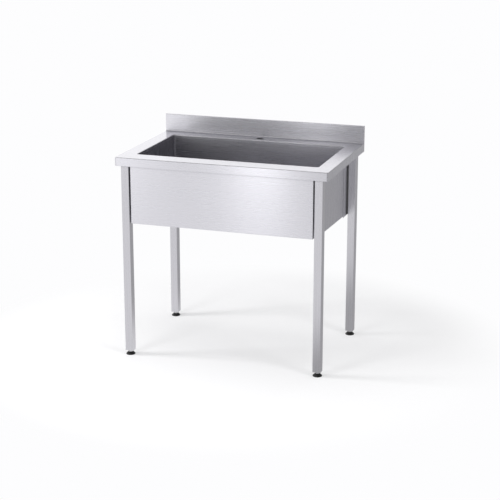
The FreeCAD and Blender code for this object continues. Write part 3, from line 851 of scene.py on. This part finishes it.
@dataclass
class LegScrews:
    """Button-head screws with hexagon sockets, one through each leg's inner face."""

    head_radius: float = 5.2 * MM
    head_height: float = 3.2 * MM
    socket: float = 3.5 * MM
    socket_depth: float = 1.9 * MM
    shank_radius: float = 2.9 * MM
    shank_length: float = 12.0 * MM
    sides: int = 24
    dome: tuple[tuple[float, float], ...] = (  # radius and height, as shares of the head's
        (1.0, 0.0), (1.0, 0.12), (0.93, 0.45), (0.78, 0.75), (0.58, 0.94), (0.45, 1.0),
    )

    def build(self, finishes: Finishes) -> None:
        """Make the four screws as one piece.

        Args:
            finishes: The sink's materials.
        """
        steel = finishes.of("fastener_steel")
        low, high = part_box("leg_screws")
        pattern = self._screw(steel)
        piece = grid_recipe().run(
            "socket_button_screws",
            {
                "Piece": pattern,
                "Columns": 2,
                "Rows": 2,
                "Width": high.x - low.x - 2 * self.shank_length,
                "Depth": high.y - low.y - 2 * self.head_radius,
                "Height": (low.z + high.z) / 2,
                "Turn with X": True,
                "Finish": steel,
            },
        )
        bpy.data.objects.remove(pattern)
        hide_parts("leg_screws")
        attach(piece, "frame")
        log.info("made %s", piece.name)

    def _screw(self, steel: bpy.types.Material) -> bpy.types.Object:
        """Make one screw with its head towards +X and its seat at the origin."""
        sides = self.sides
        bm = bmesh.new()
        hexagon = hexagon_radii(self.socket, sides, self.socket)
        loops = [
            ring_of_points(bm, [self.shank_radius] * sides, [-self.shank_length] * sides),
            ring_of_points(bm, [self.shank_radius] * sides, [0.0] * sides),
        ]
        for r, z in self.dome:
            loops.append(
                ring_of_points(bm, [r * self.head_radius] * sides, [z * self.head_height] * sides)
            )
        floor = self.head_height - self.socket_depth
        loops.append(ring_of_points(bm, hexagon, [self.head_height] * sides))
        loops.append(ring_of_points(bm, hexagon, [floor] * sides))
        lathe(bm, loops)
        bmesh.ops.rotate(bm, verts=bm.verts, matrix=Matrix.Rotation(math.pi / 2, 3, "Y"))
        return new_piece("screw_pattern", bm, steel)


@dataclass
class ApronBolts:
    """Hexagon bolts that hang both aprons from the rails, each with a nut on the rail."""

    columns: int = 4
    across_flats: float = 8.0 * MM
    head_height: float = 3.0 * MM
    shank_radius: float = 2.5 * MM
    nut_height: float = 4.0 * MM
    point: float = 2.0 * MM
    corner_trim: float = 0.56  # radius of the turned corners, as a share of the flats
    face_share: float = 0.46  # radius of the flat faces, as a share of the flats
    edge_bevel: float = 0.4 * MM
    tip_chamfer: float = 0.5 * MM
    sides: int = 24

    def build(self, finishes: Finishes) -> None:
        """Make the eight bolts and nuts as one piece.

        Args:
            finishes: The sink's materials.
        """
        steel = finishes.of("fastener_steel")
        low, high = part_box("apron_bolts")
        pattern = self._bolt_and_nut(steel, high.z - low.z)
        piece = grid_recipe().run(
            "apron_bolts_and_nuts",
            {
                "Piece": pattern,
                "Columns": self.columns,
                "Rows": 2,
                "Width": high.x - low.x - 2 * self.across_flats / math.sqrt(3),
                "Depth": high.y - low.y - self.across_flats,
                "Height": low.z,
                "Turn with X": False,
                "Finish": steel,
            },
        )
        bpy.data.objects.remove(pattern)
        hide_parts("apron_bolts")
        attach(piece, "frame")
        log.info("made %s", piece.name)

    def _bolt_and_nut(self, steel: bpy.types.Material, height: float) -> bpy.types.Object:
        """Make one bolt from its head at 0 up to its point, with the nut on it.

        Args:
            steel: The finish.
            height: Height of the bolt's point.

        Returns:
            The pattern piece.
        """
        sides = self.sides
        bm = bmesh.new()
        hexagon = hexagon_radii(self.across_flats, sides, self.across_flats * self.corner_trim)
        face = [self.across_flats * self.face_share] * sides
        shank = [self.shank_radius] * sides
        nut_top = height - self.point
        nut_low = nut_top - self.nut_height
        rows = [
            (face, 0.0),
            (hexagon, self.edge_bevel),
            (hexagon, self.head_height),
            (shank, self.head_height),
            (shank, nut_low),
            (hexagon, nut_low),
            (hexagon, nut_top - self.edge_bevel),
            (face, nut_top),
            (shank, nut_top),
            (shank, height - self.tip_chamfer),
            ([self.shank_radius - self.tip_chamfer] * sides, height),
        ]
        lathe(bm, [ring_of_points(bm, radii, [z] * sides) for radii, z in rows])
        return new_piece("bolt_pattern", bm, steel)


# ---- Studio ----
@dataclass
class Studio:
    """Plain pale floor, soft lamps and a surround that is white to the camera.

    Steel shows its surroundings, so what it reflects is graded: the surround is bright behind the
    sink and dimmer on the right and overhead, the floor is bright towards the front left, and a
    screen in front is brighter and dimmer along its length.

    Attributes:
        floor_half: Half the floor's edge.
        floor_colour: The floor's paint.
        dome_strength: Level of the surround that lights the sink and the floor.
        shadow_share: How much of its shadow the floor keeps near the sink.
        lit_radius: Distance up to which the floor keeps that much of it.
        fade_radius: Distance from which the floor is evenly white.
        seen_in_steel: Level of the surround in reflections.
        gradients: Axis of the heading, where the level starts to change, where it has changed,
            and the factor there.
        floor_heading: Way in which the floor gets brighter in reflections.
        floor_grade: Distances that way, times its length, where it starts and ends to do so.
        floor_levels: Levels before and after.
        screen_y: Place of the screen.
        screen_heights: Heights of its lower and its upper edge.
        screen_fade: Heights between which it gets dimmer.
        screen_faded: Factor above them.
        screen_stops: Places along the screen with their levels.
        lamps: Name, place, edge and power of each lamp.
        lamp_aim: What all lamps point at.
    """

    floor_half: float = 40.0
    floor_colour: str = "#FDFDFE"
    dome_strength: float = 0.38
    shadow_share: float = 0.6
    lit_radius: float = 0.9
    fade_radius: float = 1.35
    seen_in_steel: float = 0.98
    gradients: tuple[tuple[str, float, float, float], ...] = (
        ("X", -0.3, 0.4, 0.3),
        ("Z", 0.55, 0.8, 0.45),
        ("Y", 0.1, 0.6, 1.2),
    )
    floor_heading: tuple[float, float, float] = (-1.8, -1.0, 0.0)
    floor_grade: tuple[float, float] = (-0.4, 0.9)
    floor_levels: tuple[float, float] = (0.5, 0.93)
    screen_y: float = -2.4
    screen_heights: tuple[float, float] = (0.6, 2.8)
    screen_fade: tuple[float, float] = (1.1, 1.6)
    screen_faded: float = 0.2
    screen_stops: tuple[tuple[float, float], ...] = (
        (-1.6, 1.9), (-1.34, 1.9), (-1.15, 1.3), (-0.93, 1.05), (-0.75, 1.2),
        (-0.64, 1.6), (-0.54, 2.9), (-0.34, 2.7), (-0.24, 0.8), (0.3, 0.6),
    )
    lamps: tuple[tuple[str, tuple[float, float, float], float, float], ...] = (
        ("top", (0.0, 0.0, 3.6), 2.2, 40.0),
        ("left", (-3.2, -1.07, 2.2), 0.9, 70.0),
        ("front_left", (-1.5, -3.4, 3.0), 1.1, 40.0),
        ("right", (3.2, -1.6, 2.6), 1.1, 35.0),
    )
    lamp_aim: tuple[float, float, float] = (0.0, 0.0, 0.3)

    def build(self) -> None:
        """Make surround, floor, screen and lamps."""
        self._surround()
        self._floor()
        self._screen()
        for name, place, edge, power in self.lamps:
            self._lamp(name, place, edge, power)

    def _ray(self, tree: bpy.types.NodeTree, kinds: Sequence[str]) -> bpy.types.NodeSocket:
        """Tell the rays of some kinds from the others.

        Args:
            tree: The tree that gets the nodes.
            kinds: Outputs of the Light Path node.

        Returns:
            A socket that is 1 for such rays.
        """
        path = add_node(tree, "ShaderNodeLightPath")
        found = path.outputs[kinds[0]]
        for kind in kinds[1:]:
            found = add_node(
                tree, "ShaderNodeMath", {"operation": "MAXIMUM"}, {0: found, 1: path.outputs[kind]}
            ).outputs[0]
        return found

    def _graded(
        self,
        tree: bpy.types.NodeTree,
        value: bpy.types.NodeSocket,
        span: tuple[float, float],
        levels: tuple[float, float],
    ) -> bpy.types.NodeSocket:
        """Go smoothly from one level to another.

        Args:
            tree: The tree that gets the node.
            value: What the level follows.
            span: Values where the change starts and ends.
            levels: Levels before and after.

        Returns:
            The socket with the level.
        """
        return add_node(
            tree, "ShaderNodeMapRange", {"interpolation_type": "SMOOTHSTEP"},
            {
                "Value": value, "From Min": span[0], "From Max": span[1],
                "To Min": levels[0], "To Max": levels[1],
            },
        ).outputs[0]

    def _surround(self) -> None:
        """White to the camera, graded in reflections, and one plain level that lights the rest."""
        world = bpy.data.worlds.new("studio_surround")
        bpy.context.scene.world = world
        world.use_nodes = True
        tree = world.node_tree
        tree.nodes.clear()
        heading = add_node(tree, "ShaderNodeTexCoord").outputs["Generated"]
        parts = add_node(tree, "ShaderNodeSeparateXYZ", None, {0: heading})
        level: Any = self.seen_in_steel
        for axis, start, end, factor in self.gradients:
            change = self._graded(tree, parts.outputs[axis], (start, end), (1.0, factor))
            level = add_node(
                tree, "ShaderNodeMath", {"operation": "MULTIPLY"}, {0: change, 1: level}
            ).outputs[0]
        plain, graded, seen = (
            add_node(tree, "ShaderNodeBackground", None, {0: WHITE, "Strength": strength})
            for strength in (self.dome_strength, level, 1.0)
        )
        inner = add_node(
            tree, "ShaderNodeMixShader", None,
            {0: self._ray(tree, ["Is Glossy Ray"]), 1: plain.outputs[0], 2: graded.outputs[0]},
        )
        outer = add_node(
            tree, "ShaderNodeMixShader", None,
            {
                0: self._ray(tree, ["Is Camera Ray", "Is Transmission Ray"]),
                1: inner.outputs[0], 2: seen.outputs[0],
            },
        )
        add_node(tree, "ShaderNodeOutputWorld", None, {"Surface": outer.outputs[0]})

    def _plane(
        self, name: str, corners: Sequence[tuple[float, float, float]], material: bpy.types.Material
    ) -> bpy.types.Object:
        """Make a flat piece of the studio.

        Args:
            name: Its name.
            corners: Its four corners in order.
            material: Its material.

        Returns:
            The object, linked to the scene and marked as studio.
        """
        mesh = bpy.data.meshes.new(name)
        mesh.from_pydata(corners, [], [(0, 1, 2, 3)])
        mesh.materials.append(material)
        plane = bpy.data.objects.new(name, mesh)
        bpy.context.scene.collection.objects.link(plane)
        return plane

    def _floor(self) -> None:
        """Pale floor that keeps the sink's shadow near it and is evenly white further out."""
        material = new_material("painted_floor")
        tree = material.node_tree
        paint_colour = linear_colour(self.floor_colour)
        paint = add_node(tree, "ShaderNodeBsdfDiffuse", None, {"Color": paint_colour})
        place = add_node(tree, "ShaderNodeTexCoord").outputs["Object"]
        reach = add_node(
            tree, "ShaderNodeVectorMath", {"operation": "LENGTH"}, {0: place}
        ).outputs["Value"]
        share = self._graded(
            tree, reach, (self.lit_radius, self.fade_radius), (1 - self.shadow_share, 1.0)
        )
        factor = add_node(
            tree, "ShaderNodeMath", {"operation": "MULTIPLY"},
            {0: share, 1: self._ray(tree, ["Is Camera Ray", "Is Transmission Ray"])},
        ).outputs[0]
        forward = add_node(
            tree, "ShaderNodeVectorMath", {"operation": "DOT_PRODUCT"},
            {0: place, 1: self.floor_heading},
        ).outputs["Value"]
        level = self._graded(tree, forward, self.floor_grade, self.floor_levels)
        glow, graded = (
            add_node(
                tree, "ShaderNodeEmission", None, {"Color": paint_colour, "Strength": strength}
            )
            for strength in (1.0, level)
        )
        mix = add_node(
            tree, "ShaderNodeMixShader", None, {0: factor, 1: paint.outputs[0], 2: glow.outputs[0]}
        )
        whole = add_node(
            tree, "ShaderNodeMixShader", None,
            {0: self._ray(tree, ["Is Glossy Ray"]), 1: mix.outputs[0], 2: graded.outputs[0]},
        )
        add_node(tree, "ShaderNodeOutputMaterial", None, {"Surface": whole.outputs[0]})
        half = self.floor_half
        corners = [(-half, -half, 0.0), (half, -half, 0.0), (half, half, 0.0), (-half, half, 0.0)]
        self._plane("studio_floor", corners, material)

    def _screen(self) -> None:
        """Stand up the screen in front of the sink, which only reflections show."""
        material = new_material("studio_screen")
        tree = material.node_tree
        glow = add_node(
            tree, "ShaderNodeEmission", None, {"Color": WHITE, "Strength": self._screen_level(tree)}
        )
        add_node(tree, "ShaderNodeOutputMaterial", None, {"Surface": glow.outputs[0]})
        y = self.screen_y
        low, top = self.screen_heights
        left, right = self.screen_stops[0][0], self.screen_stops[-1][0]
        corners = [(left, y, low), (right, y, low), (right, y, top), (left, y, top)]
        screen = self._plane("studio_screen", corners, material)
        screen.visible_camera = False
        screen.visible_diffuse = False
        screen.visible_shadow = False

    def _screen_level(self, tree: bpy.types.NodeTree) -> bpy.types.NodeSocket:
        """Grade the screen, smoothly between its stops and dimmer higher up.

        Args:
            tree: The screen's tree.

        Returns:
            The socket with the strength of its glow.
        """
        place = add_node(tree, "ShaderNodeTexCoord").outputs["Object"]
        parts = add_node(tree, "ShaderNodeSeparateXYZ", None, {0: place})
        left, right = self.screen_stops[0][0], self.screen_stops[-1][0]
        brightest = max(level for _, level in self.screen_stops)
        share = add_node(
            tree, "ShaderNodeMapRange", None,
            {"Value": parts.outputs["X"], "From Min": left, "From Max": right},
        ).outputs[0]
        ramp = add_node(tree, "ShaderNodeValToRGB", None, {0: share})
        ramp.color_ramp.interpolation = "EASE"
        spots = ramp.color_ramp.elements
        while len(spots) < len(self.screen_stops):
            spots.new(0.5)
        for spot, (stop, level) in zip(spots, self.screen_stops):
            grey = level / brightest
            spot.position = (stop - left) / (right - left)
            spot.color = (grey, grey, grey, 1.0)
        fading = self._graded(
            tree, parts.outputs["Z"], self.screen_fade, (brightest, brightest * self.screen_faded)
        )
        return add_node(
            tree, "ShaderNodeMath", {"operation": "MULTIPLY"}, {0: ramp.outputs[0], 1: fading}
        ).outputs[0]

    def _lamp(
        self, name: str, place: tuple[float, float, float], edge: float, power: float
    ) -> None:
        """Hang one square soft lamp for the floor and the duller pieces; steel doesn't show it.

        Args:
            name: The lamp's name.
            place: Its place in metres.
            edge: Its edge in metres.
            power: Its power in watts.
        """
        data = bpy.data.lights.new("studio_" + name, "AREA")
        data.shape = "SQUARE"
        data.size = edge
        data.energy = power
        lamp = bpy.data.objects.new("studio_" + name, data)
        lamp.location = place
        aim = Vector(self.lamp_aim) - Vector(place)
        lamp.rotation_euler = aim.to_track_quat("-Z", "Y").to_euler()
        lamp.visible_glossy = False
        bpy.context.scene.collection.objects.link(lamp)


@dataclass
class PhotoCamera:
    """Camera at the photograph's place: front right of the sink, looking down at it.

    Attributes:
        place: Its place in metres, fitted to the sink's corners in the photograph.
        down: How far it looks down, in radians.
        left: How far it is turned to the left, in radians.
        lens: Focal length in millimetres.
        sensor: Width of the film in millimetres.
        view_limit: How far it sees, in metres.
    """

    place: tuple[float, float, float] = (2.0141, -5.9683, 2.3123)
    down: float = 0.2847
    left: float = 0.3197
    lens: float = 100.2
    sensor: float = 36.0
    view_limit: float = 200.0

    def build(self) -> None:
        """Make the camera and let the scene use it."""
        data = bpy.data.cameras.new("photo_camera")
        data.sensor_width = self.sensor
        data.lens = self.lens
        data.clip_end = self.view_limit
        camera = bpy.data.objects.new("photo_camera", data)
        camera.location = self.place
        camera.rotation_euler = (math.pi / 2 - self.down, 0.0, self.left)
        bpy.context.scene.collection.objects.link(camera)
        bpy.context.scene.camera = camera


def main() -> None:
    """Dress the solids, add the small pieces and set up the picture."""
    logging.basicConfig(level=logging.INFO, format="%(message)s")
    bpy.context.scene.view_settings.view_transform = "Standard"
    finishes = Finishes()
    finishes.dress_solids()
    LevellingFoot().build(finishes)
    LegScrews().build(finishes)
    ApronBolts().build(finishes)
    Studio().build()
    PhotoCamera().build()


if __name__ == "__main__":
    main()
